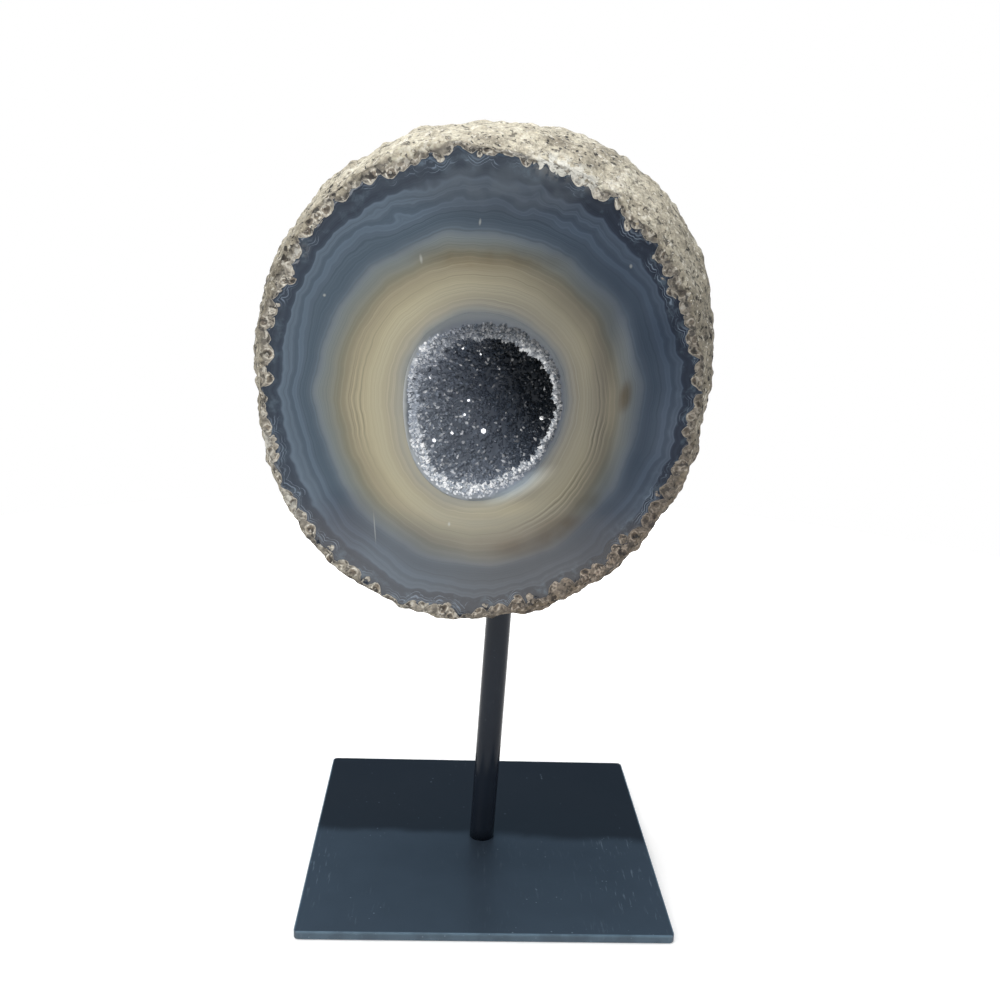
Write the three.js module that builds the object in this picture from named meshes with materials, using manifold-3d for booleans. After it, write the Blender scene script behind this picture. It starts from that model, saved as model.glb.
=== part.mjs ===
// A cut and polished half of an agate nodule with a crystal-lined hollow, held up on a leaning
// metal rod in the middle of a square base plate. Millimetres, +Z up, the cut faces -Y, and the
// origin is the centre of the plate's underside.
import * as THREE from 'three';
import { mergeVertices } from 'three/addons/utils/BufferGeometryUtils.js';
import Module from 'manifold-3d';

const wasm = await Module();
wasm.setup();

// Driving dimensions
const fittingGap = 0.3;
const plate = { side: 130, thickness: 3, cornerRadius: 2, edgeBevel: 0.4 };
const post = { diameter: 9.5, leanDegrees: 2, top: 116, sides: 24 };

// The cut is an upright plane; outlines are drawn in it around one centre, angles from +X to +Z.
const cut = { x: -6.5, y: -32, z: 181 };
const stone = {
  rim: {
    mean: 76.8,
    lobes: [
      { count: 1, height: 2.5, toward: 124 },
      { count: 2, height: 2.3, toward: 98 },
      { count: 3, height: 1.0, toward: 9 },
    ],
  },
  girdle: {
    mean: 84,
    lobes: [
      { count: 1, height: 5.7, toward: 72 },
      { count: 2, height: 3.7, toward: 80 },
      { count: 3, height: 1.4, toward: 45 },
    ],
  },
  girdleDepth: 30,
  backReach: 50,
  frontReach: 60,
  backShift: { x: 2, z: 5 },
  detail: 18,
};

// The rind: broad swellings, smaller lumps and a fine grain, all along the outward direction.
const rind = {
  swelling: { height: 1.1, length: 52 },
  lump: { height: 1.0, length: 21 },
  grain: { height: 0.55, length: 9.5 },
  scallop: { height: 0.8, count: 26, fadeDepth: 10 },
};

// The hollow opens in the cut, leans to the right as it goes back, and ends in a rounded bottom.
const hollow = {
  x: -6.6,
  z: 178.3,
  mouth: {
    mean: 29.3,
    lobes: [
      { count: 2, height: 2.3, toward: 84 },
      { count: 3, height: 0.9, toward: 13 },
    ],
  },
  depth: 32,
  lean: 4,
  fullness: 0.75,
  segments: 30,
  rows: 6,
};

// The crust of quartz crystals that lines the hollow.
const crust = {
  thickness: 4.2,
  crystals: 50,
  width: { least: 6.0, most: 8.5 },
  shaft: { least: 0.2, most: 1.2 },
  point: 0.38,
  root: 1.5,
  tilt: 0.4,
};

const fullTurn = 2 * Math.PI;
const goldenAngle = Math.PI * (3 - Math.sqrt(5));

function toRadians(degrees) {
  return (degrees * Math.PI) / 180;
}

// A repeatable number from 0 to 1 for each index and channel.
function scatter(index, channel) {
  const wave = Math.sin(index * 12.9898 + channel * 78.233) * 43758.5453;
  return wave - Math.floor(wave);
}

function between(range, share) {
  return range.least + (range.most - range.least) * share;
}

// Radius of a rounded outline: a mean radius plus a few broad lobes.
function outlineRadius(outline, angle) {
  let radius = outline.mean;
  for (const lobe of outline.lobes) {
    radius += lobe.height * Math.cos(lobe.count * (angle - toRadians(lobe.toward)));
  }
  return radius;
}

// A closed surface through rings of equally many points, with one point closing each end.
function ringsToGeometry(firstPoint, rings, lastPoint) {
  const points = [firstPoint, ...rings.flat(), lastPoint];
  const count = rings[0].length;
  const lastIndex = points.length - 1;
  const triangles = [];
  for (let i = 0; i < count; i++) {
    const next = (i + 1) % count;
    triangles.push(0, 1 + i, 1 + next);
    for (let row = 0; row < rings.length - 1; row++) {
      const near = 1 + row * count;
      const far = near + count;
      triangles.push(near + i, far + i, far + next);
      triangles.push(near + i, far + next, near + next);
    }
    const lastRow = 1 + (rings.length - 1) * count;
    triangles.push(lastRow + i, lastIndex, lastRow + next);
  }
  const geometry = new THREE.BufferGeometry().setFromPoints(points);
  geometry.setIndex(triangles);
  return geometry;
}

function geometryToSolid(geometry) {
  const bare = geometry.clone();
  bare.deleteAttribute('normal');
  bare.deleteAttribute('uv');
  const merged = mergeVertices(bare, 1e-4);
  return new wasm.Manifold(new wasm.Mesh({
    numProp: 3,
    vertProperties: new Float32Array(merged.attributes.position.array),
    triVerts: new Uint32Array(merged.index.array),
  }));
}

function solidToGeometry(solid) {
  const mesh = solid.getMesh();
  const geometry = new THREE.BufferGeometry();
  geometry.setAttribute('position', new THREE.BufferAttribute(mesh.vertProperties, 3));
  geometry.setIndex(new THREE.BufferAttribute(mesh.triVerts, 1));
  geometry.computeVertexNormals();
  return geometry;
}

function boxBetween(low, high) {
  const size = new THREE.Vector3().subVectors(high, low);
  const middle = new THREE.Vector3().addVectors(low, high).multiplyScalar(0.5);
  return new THREE.BoxGeometry(size.x, size.y, size.z).translate(middle.x, middle.y, middle.z);
}

// A point of the smooth, uncut nodule. The rise is an angle, from minus a right angle at the front
// through zero at the widest outline to a right angle at the back. In front, the profile is made
// so full that the nodule has the rim's outline where the cut goes through it.
function nodulePoint(angle, rise) {
  const girdleRadius = outlineRadius(stone.girdle, angle);
  const rimRadius = outlineRadius(stone.rim, angle);
  const rimRise = Math.asin(stone.girdleDepth / stone.frontReach);
  const rimFullness = Math.log(rimRadius / girdleRadius) / Math.log(Math.cos(rimRise));
  const fullness = rise < 0 ? rimFullness : 1;
  const reach = rise < 0 ? stone.frontReach : stone.backReach;
  const radius = girdleRadius * Math.cos(rise) ** fullness;
  const shift = Math.max(0, Math.sin(rise));
  return new THREE.Vector3(
    cut.x + radius * Math.cos(angle) + stone.backShift.x * shift,
    cut.y + stone.girdleDepth + reach * Math.sin(rise),
    cut.z + radius * Math.sin(angle) + stone.backShift.z * shift,
  );
}

// Smooth rises and dips, from -1 to 1, that repeat about once in each length.
function waves(point, length) {
  const k = fullTurn / length;
  const a = Math.sin(k * (point.x + 0.4 * point.z) + 1.7 * Math.sin(0.43 * k * point.y));
  const b = Math.sin(k * (point.z - 0.5 * point.y) + 1.3 * Math.sin(0.37 * k * point.x));
  const c = Math.sin(k * (point.y + 0.3 * point.x) + 1.1 * Math.sin(0.51 * k * point.z));
  return (a * b + b * c + c * a) / 2;
}

// How far the rind stands out from the smooth nodule at a point, with a scalloped edge at the cut.
function rindRelief(point, angle) {
  const fade = Math.exp(-Math.abs(point.y - cut.y) / rind.scallop.fadeDepth);
  const beads = Math.abs(Math.sin((rind.scallop.count * angle) / 2 + Math.sin(3 * angle)));
  return (
    rind.swelling.height * waves(point, rind.swelling.length) +
    rind.lump.height * waves(point, rind.lump.length) +
    rind.grain.height * waves(point, rind.grain.length) +
    rind.scallop.height * fade * (beads - 0.6)
  );
}

// The whole nodule with its rough rind, as an evenly meshed ball.
function noduleSolid() {
  const ball = new THREE.IcosahedronGeometry(1, stone.detail);
  const places = ball.attributes.position;
  const middle = new THREE.Vector3(cut.x, cut.y + stone.girdleDepth, cut.z);
  for (let i = 0; i < places.count; i++) {
    const direction = new THREE.Vector3().fromBufferAttribute(places, i);
    const angle = Math.atan2(direction.z, direction.x);
    const point = nodulePoint(angle, Math.asin(direction.y));
    const outward = point.clone().sub(middle).normalize();
    point.addScaledVector(outward, rindRelief(point, angle));
    places.setXYZ(i, point.x, point.y, point.z);
  }
  return geometryToSolid(ball);
}

// The hollow's wall, moved inward by the inset. From 0 to 1 it goes from the mouth to the bottom.
function hollowPoint(angle, travel, inset) {
  const turn = (travel * Math.PI) / 2;
  const radius = (outlineRadius(hollow.mouth, angle) - inset) * Math.cos(turn) ** hollow.fullness;
  return new THREE.Vector3(
    hollow.x + radius * Math.cos(angle) + hollow.lean * Math.sin(turn),
    cut.y + (hollow.depth - inset) * Math.sin(turn),
    hollow.z + radius * Math.sin(angle),
  );
}

// A bowl with the wall's shape, standing out a little in front of the cut.
function bowlSolid(inset) {
  const overrun = 3;
  const rings = [];
  const mouthRing = [];
  for (let i = 0; i < hollow.segments; i++) {
    const angle = (fullTurn * i) / hollow.segments;
    mouthRing.push(hollowPoint(angle, 0, inset).setY(cut.y - overrun));
  }
  rings.push(mouthRing);
  for (let row = 0; row < hollow.rows; row++) {
    const ring = [];
    for (let i = 0; i < hollow.segments; i++) {
      const angle = (fullTurn * i) / hollow.segments;
      ring.push(hollowPoint(angle, row / hollow.rows, inset));
    }
    rings.push(ring);
  }
  const front = new THREE.Vector3(hollow.x, cut.y - overrun, hollow.z);
  const bottom = hollowPoint(0, 1, inset);
  return geometryToSolid(ringsToGeometry(front, rings, bottom));
}

// A round bar along the post's leaning axis, from one height to another.
function leaningBar(radius, fromHeight, toHeight, sides) {
  const bar = new THREE.CylinderGeometry(radius, radius, toHeight - fromHeight, sides);
  bar.rotateX(Math.PI / 2);
  bar.translate(0, 0, (fromHeight + toHeight) / 2);
  bar.rotateY(toRadians(post.leanDegrees));
  return bar;
}

// The stone: the nodule sawn through, less the hollow and the blind hole for the post.
function agateGeometry() {
  const reach = 2 * stone.frontReach;
  const sawnOff = boxBetween(
    new THREE.Vector3(cut.x - reach, cut.y - reach, cut.z - reach),
    new THREE.Vector3(cut.x + reach, cut.y, cut.z + reach),
  );
  const holeRadius = post.diameter / 2 + fittingGap;
  const hole = leaningBar(holeRadius, post.top / 2, post.top + fittingGap, post.sides);
  const half = noduleSolid().subtract(geometryToSolid(sawnOff));
  return solidToGeometry(half.subtract(bowlSolid(0)).subtract(geometryToSolid(hole)));
}

// One six-sided quartz crystal with a pointed end, rooted below the point it grows from.
function crystalSolid(index) {
  const share = (index + 0.5) / crust.crystals;
  const travel = Math.asin(share) / (Math.PI / 2);
  const angle = index * goldenAngle;
  const seat = hollowPoint(angle, travel, fittingGap + crust.thickness);
  const width = between(crust.width, scatter(index, 2));
  const shaft = between(crust.shaft, scatter(index, 3));
  const profile = [
    new THREE.Vector2(0, -crust.root),
    new THREE.Vector2(width / 2, -crust.root),
    new THREE.Vector2(width / 2, shaft),
    new THREE.Vector2(0, shaft + crust.point * width),
  ];
  const crystal = new THREE.LatheGeometry(profile, 6);
  crystal.rotateY(fullTurn * scatter(index, 4));
  const growth = new THREE.Vector3(hollow.x, cut.y + hollow.depth / 4, hollow.z).sub(seat);
  growth.normalize();
  growth.x += crust.tilt * (scatter(index, 5) - 0.5);
  growth.y += crust.tilt * (scatter(index, 6) - 0.5);
  growth.z += crust.tilt * (scatter(index, 7) - 0.5);
  growth.normalize();
  const up = new THREE.Vector3(0, 1, 0);
  crystal.applyQuaternion(new THREE.Quaternion().setFromUnitVectors(up, growth));
  crystal.translate(seat.x, seat.y, seat.z);
  return geometryToSolid(crystal);
}

// The crust: a lining of even thickness with its crystals, sawn off level with the cut.
function crustGeometry() {
  const outside = bowlSolid(fittingGap);
  let lining = outside.subtract(bowlSolid(fittingGap + crust.thickness));
  for (let index = 0; index < crust.crystals; index++) {
    lining = lining.add(crystalSolid(index));
  }
  const reach = 2 * hollow.mouth.mean;
  const sawnOff = boxBetween(
    new THREE.Vector3(hollow.x - reach, cut.y - reach, hollow.z - reach),
    new THREE.Vector3(hollow.x + reach, cut.y, hollow.z + reach),
  );
  return solidToGeometry(lining.intersect(outside).subtract(geometryToSolid(sawnOff)));
}

// The rod, cut level just above the plate.
function postGeometry() {
  const bar = geometryToSolid(leaningBar(post.diameter / 2, -post.diameter, post.top, post.sides));
  const reach = 2 * post.diameter;
  const below = boxBetween(
    new THREE.Vector3(-reach, -reach, -reach),
    new THREE.Vector3(reach, reach, plate.thickness + fittingGap),
  );
  return solidToGeometry(bar.subtract(geometryToSolid(below)));
}

// A square sheet with rounded corners and lightly broken edges.
function plateGeometry() {
  const half = plate.side / 2 - plate.edgeBevel;
  const turn = half - plate.cornerRadius;
  const outline = new THREE.Shape();
  outline.absarc(turn, turn, plate.cornerRadius, 0, Math.PI / 2);
  outline.absarc(-turn, turn, plate.cornerRadius, Math.PI / 2, Math.PI);
  outline.absarc(-turn, -turn, plate.cornerRadius, Math.PI, Math.PI * 1.5);
  outline.absarc(turn, -turn, plate.cornerRadius, Math.PI * 1.5, fullTurn);
  const sheet = new THREE.ExtrudeGeometry(outline, {
    depth: plate.thickness - 2 * plate.edgeBevel,
    bevelSize: plate.edgeBevel,
    bevelThickness: plate.edgeBevel,
    bevelSegments: 1,
    curveSegments: 3,
  });
  return sheet.translate(0, 0, plate.edgeBevel);
}

function namedMesh(name, geometry, look) {
  const mesh = new THREE.Mesh(geometry, new THREE.MeshStandardMaterial(look));
  mesh.name = name;
  return mesh;
}

const blackPaint = { color: 0x23262d, roughness: 0.45, metalness: 0.0 };
const specimen = new THREE.Group();
specimen.add(namedMesh('agate', agateGeometry(), { color: 0x6f7780, roughness: 0.2 }));
specimen.add(namedMesh('crystal_crust', crustGeometry(), { color: 0x565c66, roughness: 0.15 }));
specimen.add(namedMesh('post', postGeometry(), blackPaint));
specimen.add(namedMesh('base_plate', plateGeometry(), blackPaint));

export default specimen;
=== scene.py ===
import bpy
import math
import numpy as np
from mathutils import Matrix, Vector


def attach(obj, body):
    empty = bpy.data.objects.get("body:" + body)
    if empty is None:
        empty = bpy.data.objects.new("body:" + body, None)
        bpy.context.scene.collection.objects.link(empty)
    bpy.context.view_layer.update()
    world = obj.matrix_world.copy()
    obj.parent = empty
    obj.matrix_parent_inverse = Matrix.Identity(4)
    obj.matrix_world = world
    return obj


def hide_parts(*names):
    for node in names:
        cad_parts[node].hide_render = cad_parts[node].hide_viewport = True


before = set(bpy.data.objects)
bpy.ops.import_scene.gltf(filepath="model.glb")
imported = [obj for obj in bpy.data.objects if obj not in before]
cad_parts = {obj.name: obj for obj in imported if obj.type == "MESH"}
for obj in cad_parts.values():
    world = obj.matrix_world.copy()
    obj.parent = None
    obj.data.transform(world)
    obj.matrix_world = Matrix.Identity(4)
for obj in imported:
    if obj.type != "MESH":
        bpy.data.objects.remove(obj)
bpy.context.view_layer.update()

# A polished agate half with a crystal-lined hollow, on a rod and a square plate. The cut faces
# -Y, and angles in it run from +X towards +Z. The scene is in metres; lengths in the tables are
# in millimetres, except for the camera, the studio and the places of colours in the materials.
mm = 0.001
fullTurn = 2 * math.pi
seeds = {"sides": 3, "crystals": 7, "knobs": 11, "grit": 12, "pits": 21, "bulges": 31,
         "fineSawn": 41, "broadSawn": 42, "bowl": 51}
print("frame loaded")


# Shared helpers for shapes

def lobedRadius(outline, angle):
    # radius = mean + sum of height * cos(count * (angle - toward)), in metres
    radius = np.full_like(angle, outline["mean"])
    for count, height, toward in outline["lobes"]:
        radius = radius + height * np.cos(count * (angle - math.radians(toward)))
    return radius * mm


def smoothStep(low, high, value):
    # 3t^2 - 2t^3 with t the clipped share of the way from low to high
    t = np.clip((value - low) / (high - low), 0, 1)
    return t * t * (3 - 2 * t)


def hashed(ix, iy, iz, seed):
    # fraction of a large sine: a repeatable number from 0 to 1 for each lattice point
    wave = np.sin(ix * 127.1 + iy * 311.7 + iz * 74.7 + seed * 53.3) * 43758.5453
    return wave - np.floor(wave)


def softNoise(points, size, seed):
    # eight hashed lattice corners blended with 3t^2 - 2t^3, from -1 to 1
    cell = points / size
    base = np.floor(cell)
    t = cell - base
    t = t * t * (3 - 2 * t)
    total = np.zeros(points.shape[:-1])
    for corner in range(8):
        step = np.array([corner & 1, (corner >> 1) & 1, corner >> 2])
        weight = np.prod(np.where(step, t, 1 - t), axis=-1)
        spot = base + step
        total += weight * hashed(spot[..., 0], spot[..., 1], spot[..., 2], seed)
    return 2 * total - 1


def cellNoise(points, size, seed):
    # distance to the nearest of one scattered centre per cell, as a share of the cell's size,
    # and that centre's own random number
    cell = points / size
    base = np.floor(cell)
    nearest = np.full(points.shape[:-1], 9.0)
    owner = np.zeros(points.shape[:-1])
    for neighbour in range(27):
        step = np.array([neighbour % 3, neighbour // 3 % 3, neighbour // 9]) - 1
        spot = base + step
        x, y, z = spot[..., 0], spot[..., 1], spot[..., 2]
        jitter = np.stack([hashed(x, y, z, seed + k) for k in (1, 2, 3)], axis=-1)
        distance = np.linalg.norm(spot + jitter - cell, axis=-1)
        closer = distance < nearest
        nearest = np.where(closer, distance, nearest)
        owner = np.where(closer, hashed(x, y, z, seed + 4), owner)
    return nearest, owner


def waves(points, length):
    # (ab + bc + ca) / 2 of three crossed sines that repeat about once in each length
    k = fullTurn / length
    x, y, z = points[..., 0], points[..., 1], points[..., 2]
    a = np.sin(k * (x + 0.4 * z) + 1.7 * np.sin(0.43 * k * y))
    b = np.sin(k * (z - 0.5 * y) + 1.3 * np.sin(0.37 * k * x))
    c = np.sin(k * (y + 0.3 * x) + 1.1 * np.sin(0.51 * k * z))
    return (a * b + b * c + c * a) / 2


def unit(vectors, extra=0):
    # each vector divided by its length
    return vectors / (np.linalg.norm(vectors, axis=-1, keepdims=True) + extra)


def ringSkin(rows, *ends):
    # points and faces of a skin through rows[i, j], the rows joined by quads, the first one to
    # the first end by a fan, and the last one to the last end, which a disc leaves out
    rowCount, columnCount = rows.shape[:2]
    index = np.arange(rowCount * columnCount).reshape(rowCount, columnCount)
    after = np.roll(index, -1, axis=1)
    firstIndex = np.full(columnCount, rowCount * columnCount)
    faces = [np.stack([index[:-1], index[1:], after[1:], after[:-1]], axis=-1).reshape(-1, 4),
             np.stack([firstIndex, index[0], after[0]], axis=-1),
             np.stack([firstIndex + 1, after[-1], index[-1]], axis=-1)][:len(ends) + 1]
    return np.concatenate([rows.reshape(-1, 3), ends]), [face for part in faces for face in part.tolist()]


def newMesh(name, points, faces, smooth):
    mesh = bpy.data.meshes.new(name)
    mesh.from_pydata(points, [], faces)
    mesh.update()
    mesh.polygons.foreach_set("use_smooth", smooth)
    return mesh


def newObject(name, data):
    made = bpy.data.objects.new(name, data)
    bpy.context.scene.collection.objects.link(made)
    return made


def addAttribute(mesh, name, values):
    layer = mesh.attributes.new(name, "FLOAT", "POINT")
    layer.data.foreach_set("value", np.asarray(values, dtype=np.float32).ravel())


def newPiece(name, mesh, material, node):
    piece = newObject(name, mesh)
    mesh.materials.append(material)
    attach(piece, "root")
    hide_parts(node)


# Shared helpers for materials. A node goes into the tree of the sockets that feed it. Three
# numbers are a colour's screen values from 0 to 255, four are linear light, and one is a grey.

def colour(shade):
    # screen value s / 255 turned into ((s + 0.055) / 1.055)^2.4, or s / 12.92 where it is dark
    if isinstance(shade, (int, float)):
        return (shade, shade, shade, 1.0)
    if not isinstance(shade, tuple) or len(shade) == 4:
        return shade
    screen = np.array(shade) / 255
    linear = np.where(screen <= 0.04045, screen / 12.92, ((screen + 0.055) / 1.055) ** 2.4)
    return (*linear.tolist(), 1.0)


def isSocket(value):
    return isinstance(value, bpy.types.NodeSocket)


def feed(node, inputs):
    # a socket is linked to its input, and any other value is set
    for key, value in inputs.items():
        if isSocket(value):
            node.id_data.links.new(value, node.inputs[key])
        else:
            node.inputs[key].default_value = value


def addNode(kind, settings, inputs, tree=None):
    if tree is None:
        tree = next(value.id_data for value in inputs.values() if isSocket(value))
    made = tree.nodes.new("ShaderNode" + kind)
    for key, value in settings.items():
        setattr(made, key, value)
    feed(made, inputs)
    return made


def newMaterial(name):
    # the material, the place on the object and the shader
    material = bpy.data.materials.new(name)
    material.use_nodes = True
    tree = material.node_tree
    place = addNode("TexCoord", {}, {}, tree).outputs["Object"]
    return material, place, tree.nodes["Principled BSDF"]


def attribute(place, name):
    return addNode("Attribute", {"attribute_name": name}, {}, place.id_data).outputs["Fac"]


def axes(vector):
    return addNode("SeparateXYZ", {}, {0: vector}).outputs


def maths(operation, *values):
    return addNode("Math", {"operation": operation}, dict(enumerate(values))).outputs[0]


def times(product, *factors):
    for factor in factors:
        product = maths("MULTIPLY", product, factor)
    return product


def vectorMaths(operation, *values):
    made = addNode("VectorMath", {"operation": operation}, dict(enumerate(values)))
    return made.outputs["Value" if operation == "LENGTH" else "Vector"]


def mixColour(share, a, b, mode="MIX"):
    settings = {"data_type": "RGBA", "blend_type": mode, "clamp_factor": True}
    return addNode("Mix", settings, {0: share, 6: colour(a), 7: colour(b)}).outputs[2]


def layered(base, *layers):
    # each layer is a share, a colour and perhaps a mode, mixed over what lies below
    for share, *shadeAndMode in layers:
        base = mixColour(share, base, *shadeAndMode)
    return base


def mixValue(share, a, b):
    return addNode("Mix", {"data_type": "FLOAT"}, {0: share, 2: a, 3: b}).outputs[0]


def between(value, low, high, lowResult=0.0, highResult=1.0, curve="SMOOTHSTEP"):
    # lowResult up to low and highResult from high on, joined by 3t^2 - 2t^3 or a straight line
    inputs = {"Value": value, "From Min": low, "From Max": high, "To Min": lowResult, "To Max": highResult}
    return addNode("MapRange", {"interpolation_type": curve}, inputs).outputs[0]


def fading(value, low, high, lowResult=1.0):
    return between(value, low, high, lowResult, 0.0)


def colourRamp(value, stops):
    made = addNode("ValToRGB", {}, {"Fac": value})
    elements = made.color_ramp.elements
    while len(elements) < len(stops):
        elements.new(1.0)
    for element, (position, _) in zip(elements, stops):
        element.position = position
    for element, (_, shade) in zip(elements, stops):
        element.color = colour(shade)
    return made.outputs["Color"]


def noise(vector, scale, detail, roughness=0.5):
    inputs = {"Vector": vector, "Scale": scale, "Detail": detail, "Roughness": roughness}
    return addNode("TexNoise", {}, inputs).outputs["Fac"]


def lineNoise(value, scale, detail):
    inputs = {"W": value, "Scale": scale, "Detail": detail}
    return addNode("TexNoise", {"noise_dimensions": "1D"}, inputs).outputs["Fac"]


def patches(vector, scale, detail, low, high, lowResult=0.0, highResult=1.0, roughness=0.5):
    return between(noise(vector, scale, detail, roughness), low, high, lowResult, highResult)


def cells(vector, scale):
    # each scattered cell's distance from its centre, and its own colour
    return addNode("TexVoronoi", {}, {"Vector": vector, "Scale": scale}).outputs


def bump(height, strength, distance, below=None):
    inputs = {"Height": height, "Strength": strength, "Distance": distance}
    if below is not None:
        inputs["Normal"] = below
    return addNode("Bump", {}, inputs).outputs["Normal"]


# The camera stands where the photograph was taken from

cameraView = {
    "place": (-0.01720, -0.40011, 0.23202),
    "turn": -2.755,   # degrees to the left about the upright
    "down": 13.028,   # degrees below level
    "roll": 2.325,    # degrees about the line of sight
    "lens": 40.12,    # millimetres
    "sensor": 36,
}


def makeCamera():
    # turned about the upright, tipped down from level, then rolled about the line of sight
    turn, down, roll = (math.radians(cameraView[key]) for key in ("turn", "down", "roll"))
    data = bpy.data.cameras.new("camera")
    data.lens = cameraView["lens"]
    data.sensor_width = cameraView["sensor"]
    data.clip_start = 0.01
    camera = newObject("camera", data)
    pose = Matrix.Rotation(turn, 4, "Z") @ Matrix.Rotation(math.pi / 2 - down, 4, "X")
    pose = Matrix.Translation(cameraView["place"]) @ pose @ Matrix.Rotation(roll, 4, "Z")
    camera.matrix_world = pose
    bpy.context.scene.camera = camera


# The stone

cut = {"x": -6.5, "y": -32, "z": 181}
cutMiddle = np.array([cut["x"], cut["y"], cut["z"]]) * mm

stone = {
    "rim": {"mean": 76.8, "lobes": [(1, 2.5, 124), (2, 2.3, 98), (3, 1.0, 9)]},
    "girdle": {"mean": 84, "lobes": [(1, 5.7, 72), (2, 3.7, 80), (3, 1.4, 45)]},
    "girdleDepth": 30,
    "backReach": 50,
    "frontReach": 60,
    "backShift": (2, 5),
    "waves": [(0.8, 52), (0.7, 21), (0.5, 8.5)],   # height and length of the rind's waves
    "scallop": (0.3, 26, 7),   # height, count round the rim and fading depth
    "flats": 1.0,   # how much the stone is drawn in at the top, bottom and sides
    "knobs": (0.45, 3.6),   # height and size of the small knobs all over the rind
    "grit": (0.3, 1.8),   # height and size
    "pits": (1.1, 4.2, 0.4, 0.22),   # depth, spacing, share of places with a pit and width
    "sunk": 0.35,   # the relief's mean height, which is taken off again
    # unevenness of the sawn rind: height, size and seed, and how deep it lies under the polish
    "sawn": [(0.35, 1.6, seeds["fineSawn"]), (0.35, 3.1, seeds["broadSawn"])],
    "sawnDepth": 0.25,
    # dents and swellings of the outline: toward an angle, its spread in degrees and its height
    "dents": [(316, 19, -1.5), (106, 7, 1.1), (346, 6, 1.0), (180, 6, -0.9), (225, 6, -0.8)],
    "columns": 640,
    "wallRows": 6,
    "faceRows": 44,
    "edgeRows": 7,
    "skinRows": 92,
}

# Outlines of the bands in the cut, each with its mean radius as its place among the bands
bandOutlines = [
    {"mean": 50.7, "lobes": [(1, 2.8, -123), (2, 1.9, 98), (3, 0.7, 35)]},
    {"mean": 55.3, "lobes": [(1, 1.6, -135), (2, 1.0, 98), (3, 0.6, 30)]},
    {"mean": 67.0, "lobes": [(1, 1.6, 130), (2, 1.6, 98), (3, 0.5, 0)]},
    {"mean": 72.4, "lobes": [(1, 2.9, 125), (2, 2.3, 87), (3, 1.2, 2)]},
]
mouthBand = 28.0

# The bands run in flat stretches between blunt corners, and in small round bulges near the rind
bandShape = {
    "sides": 15,
    "softness": 90,    # power of the mean that blunts the corners
    "bulgeRadius": 72,
    "sideShare": [(28, 0.1), (44, 0.3), (50, 0.6), (55, 0.9), (63, 0.7), (68, 0.3), (72.4, 0.0)],
    "bulgeSize": 5.2,
    "bulgeHeight": [(28, 0.0), (56, 0.0), (61, 0.25), (64, 0.5), (67, 1.0), (70, 1.4), (72.4, 1.8)],
}

hollow = {
    "x": -6.6,
    "z": 178.3,
    "mouth": {"mean": 29.3, "lobes": [(2, 2.3, 84), (3, 0.9, 13)]},
    "depth": 32,
    "lean": 4,
    "fullness": 0.75,
}


def noduleSurface(angle, rise):
    # radius = girdle * cos(rise)^fullness and depth = girdle depth + reach * sin(rise); in front
    # the fullness is log(rim / girdle) / log(cos(rim's rise)), so that the cut has the rim's outline
    girdle = lobedRadius(stone["girdle"], angle)
    rim = lobedRadius(stone["rim"], angle)
    rimRise = math.asin(stone["girdleDepth"] / stone["frontReach"])
    rimFullness = np.log(rim / girdle) / math.log(math.cos(rimRise))
    fullness = np.where(rise < 0, rimFullness, 1)
    reach = np.where(rise < 0, stone["frontReach"], stone["backReach"])
    radius = girdle * np.maximum(np.cos(rise), 0) ** fullness
    shift = np.maximum(0, np.sin(rise))
    x = cut["x"] * mm + radius * np.cos(angle) + stone["backShift"][0] * mm * shift
    y = (cut["y"] + stone["girdleDepth"] + reach * np.sin(rise)) * mm
    z = cut["z"] * mm + radius * np.sin(angle) + stone["backShift"][1] * mm * shift
    return np.stack([x, y, z], axis=-1)


def rindRelief(points, angle):
    # broad waves, lumps and grain, a scalloped edge that fades with depth, small knobs, pits and
    # dents of height * exp(-(way / spread)^2), less a share of the cosine of four times the angle
    inMm = points / mm
    height = sum(high * waves(inMm, length) for high, length in stone["waves"])
    scallopHeight, count, fadeDepth = stone["scallop"]
    fade = np.exp(-np.abs(inMm[..., 1] - cut["y"]) / fadeDepth)
    beads = np.abs(np.sin(count * angle / 2 + 2.4 * np.sin(3 * angle) + 1.3 * np.sin(7 * angle)))
    height = height + scallopHeight * fade * (beads - 0.6)
    knobHeight, knobSize = stone["knobs"]
    knob, _ = cellNoise(inMm, knobSize, seeds["knobs"])
    height = height + knobHeight * (0.5 - knob)
    gritHeight, gritSize = stone["grit"]
    height = height + gritHeight * softNoise(inMm, gritSize, seeds["grit"])
    pitDepth, pitSpacing, pitShare, pitWidth = stone["pits"]
    pit, owner = cellNoise(inMm, pitSpacing, seeds["pits"])
    height = height - pitDepth * (owner < pitShare) * np.exp(-(pit / pitWidth) ** 2)
    for toward, spread, depth in stone["dents"]:
        away = np.degrees(np.arccos(np.clip(np.cos(angle - math.radians(toward)), -1, 1)))
        height = height + depth * np.exp(-(away / spread) ** 2)
    height = height - stone["flats"] * np.cos(4 * angle) * np.exp(-(inMm[..., 1] + 10) ** 2 / 2500)
    return (height - stone["sunk"]) * mm


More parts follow.
